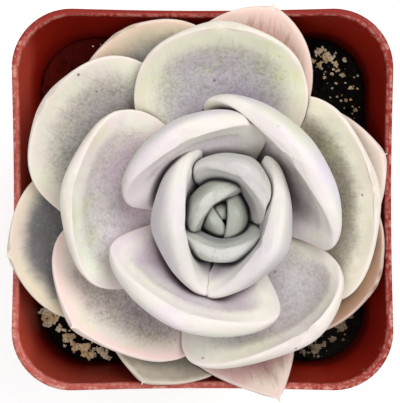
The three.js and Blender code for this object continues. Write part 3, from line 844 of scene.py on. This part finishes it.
# Three clasping leaves stand up round the heart, cupped like spoons, with their tips turned in.
# Five smaller ones inside them are folded over the heart, so that their backs show.
# Their bloom is whole and nearly white, with lilac in the shade and a cream crest painted as a highlight.
clasping = dict(
    spike=0.0, roll=3.0, welt=0.3, welt_in=2.8, hollow=0.0,
    middle="d3cad2", margin="e6e2d8", margin_rosy="e8dee2", base="b09ca8", blush="ece0dc", bare="a39da1",
    line="f0ebe4", scar_and_crease_shade="583f44", back="e0d9e2", back_warm="e6e1dc",
    margin_in=4.6, lilac_and_shade=0.7, green=0.15, blush_in=0.8, blush_share=0.5, crest_highlight_in=2.0, crest_highlight=0.9,
    worn=0.1, fibrous=0.2, line_share=0.15, crease_shade_reach=0.0016, crease_shade_share=0.75,
)
leaf_set(
    [
        # Painted shade and light: a dark base colour for the shade in its cup, and a near-white middle and
        # margin for light on its lower lobe.
        dict(order=9, azimuth=40, length=28.8, width=32.5, start=14, end=132, cup=46, thick=4, fill=0.3,
             lilac_and_shade=1.0, base="6a5e60", middle="ece4e2", margin="f0ece4", green=0.3, back_warm="dedfcb"),
        dict(order=8, azimuth=248, length=27.4, width=30.5, start=20, end=104, cup=44, thick=4, fill=0.4,
             margin_rosy="e6d9e0"),
        # Painted light: near-white colours for light on its inner face, which the leaf beside it shades.
        dict(order=7, azimuth=116, length=26.2, width=26.8, start=24, end=118, cup=47, thick=4, fill=0.4,
             skew=0.03,
             green=0.0, lilac_and_shade=0.4, base="e6dcdf", middle="f2ebee", margin="e6e2d8", crest_highlight=0.3,
             back_warm="dcdccc"),
    ],
    clasping,
)
young = dict(
    spike=0.0, roll=2.6, welt=0.1, welt_in=1.6, hollow=0.0, fold=0.6, fill=0.3,
    middle="c9c3c8", margin="e0ddd4", margin_rosy="e2dade", base="9c8f98", blush="e6dedb", bare="a09d9c",
    line="f0ece6", scar_and_crease_shade="3a2c30", back="dcd6dd", back_warm="e0dcd8",
    margin_in=2.2, lilac_and_shade=0.5, green=0.05, blush_in=0.6, blush_share=0.4, crest_highlight_in=0.9, crest_highlight=0.5,
    worn=0.06, fibrous=0.18, line_share=0.08, crease_shade_reach=0.0012, crease_shade_share=0.85,
)
leaf_set(
    [
        dict(order=6, azimuth=333, length=21.5, width=27.5, start=32, end=132, cup=44, thick=4.2,
             fold=0.65, fill=0.25, drift=-1.5, point=0.3),
        dict(order=5, azimuth=185, length=21, width=27, start=34, end=142, cup=42, thick=4.2, fold=0.5,
             fill=0.25, drift=1.5, point=0.5, spike=0.3),
        dict(order=4, azimuth=56, length=19.2, width=17.6, start=43, end=119, cup=50, thick=4, drift=1,
             point=0.3,
             back="cdcccd", back_warm="d3d3cd", middle="a9a4a6", margin="c9c7c4", margin_rosy="c6c2c2",
             crest_highlight=0.4),
        dict(order=3, azimuth=268, length=14.6, width=15.5, start=49, end=104, cup=42, thick=3.4,
             back="b2b5b0", back_warm="babcb2", middle="93989b", margin="b2b5ae", margin_rosy="aeb1ac",
             crest_highlight=0.3),
        dict(order=2, azimuth=132, length=14.6, width=12.5, start=58, end=128, cup=46, thick=3.4,
             back="9fa29b", back_warm="a9aca2", middle="8b8f89", margin="b0b3aa", margin_rosy="aaada4",
             crest_highlight=0.3),
    ],
    young,
)


# The heart is the growing point: two leaflets stand face to face with a bud between them.
# They are still green, with only a thin bloom.
heart_leaf = dict(
    spike=0.0, roll=2.2, welt=0.0, welt_in=0.9, hollow=0.0,
    middle="7c8176", margin="a6a99f", margin_rosy="a6a99f", base="646860", blush="bfc2b8", bare="686d65",
    line="c9cbc2", scar_and_crease_shade="0c0e08", back="989b91", back_warm="a5a89d",
    margin_in=1.2, lilac_and_shade=0.7, green=0.0, blush_in=0.4, blush_share=0.3, crest_highlight_in=0.5, crest_highlight=0.2, worn=0.1,
    fibrous=0.3, line_share=0.0, crease_shade_reach=0.0009, crease_shade_share=0.9,
)
leaflet_mesh = (32, 28)
bud_mesh = (24, 20)
leaflets = [
    dict(order=0, azimuth=215, length=8.5, width=7.5, start=76, end=118, cup=24, thick=2.9, fold=0.3,
         point=0.6),
    dict(order=1, azimuth=358, length=10, width=9.5, start=72, end=116, cup=28, thick=3.3, fold=0.3,
         point=0.5),
]
parts = [grow("heart_part", None, {**heart_leaf, **row}, *leaflet_mesh) for row in leaflets]
bud_leaf = dict(order=0, azimuth=85, length=7.6, width=5.2, start=88, end=128, cup=20, thick=2.6,
                point=0.7)
parts.append(grow("heart_part", None, {**heart_leaf, **bud_leaf}, *bud_mesh))
bpy.ops.object.select_all(action="DESELECT")
for part in parts:
    part.select_set(True)
bpy.context.view_layer.objects.active = parts[0]
bpy.ops.object.join()
heart = bpy.context.object
heart.name = heart.data.name = "fine_heart"
settle(heart, bloom("bloom heart", {**heart_leaf, "order": 0}))
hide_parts("heart")


# The pot stands on a plain white table under a broad soft lamp, with pale light from all round.
# The view is straight down on the rosette, as it is in the picture.
table_size = 4
table_grey = 0.45
table_glow = 0.7
sky_strength = 0.28
aim = (0, 0, 0.05)
camera_place = (-0.000394, -0.000315, 0.375)
camera_lens = 182.9
bpy.ops.object.select_all(action="DESELECT")
bpy.ops.mesh.primitive_plane_add(size=table_size, location=(0, 0, -0.0002))
floor = bpy.context.object
floor.name = "floor"
grey = (table_grey, table_grey, table_grey, 1)
white = Finish("white table", Base_Color=grey, Roughness=0.8, Specular_IOR_Level=0.1)
white.shader.inputs["Emission Color"].default_value = (1, 1, 1, 1)
white.shader.inputs["Emission Strength"].default_value = table_glow
floor.data.materials.append(white.material)

world = bpy.data.worlds.new("studio")
bpy.context.scene.world = world
world.use_nodes = True
world.node_tree.nodes["Background"].inputs["Color"].default_value = (1, 1, 1, 1)
world.node_tree.nodes["Background"].inputs["Strength"].default_value = sky_strength


def lamp(name, size, power, place):
    """A round, soft lamp that shines on the rosette."""
    light = bpy.data.lights.new(name, "AREA")
    light.shape = "DISK"
    light.size = size
    light.energy = power
    holder = bpy.data.objects.new(name, light)
    bpy.context.scene.collection.objects.link(holder)
    holder.location = place
    holder.rotation_euler = (Vector(aim) - Vector(place)).to_track_quat("-Z", "Y").to_euler()


lamp("top lamp", 0.6, 4.7, (0.3, 0.25, 0.75))
lamp("side lamp", 0.4, 1.9, (-0.13, -0.15, 0.75))

camera = bpy.data.cameras.new("camera")
camera.sensor_fit = "HORIZONTAL"
camera.sensor_width = 36
camera.lens = camera_lens
camera.clip_start = 0.01
view = bpy.data.objects.new("camera", camera)
view.location = camera_place
bpy.context.scene.collection.objects.link(view)
bpy.context.scene.camera = view
bpy.context.scene.view_settings.view_transform = "Standard"
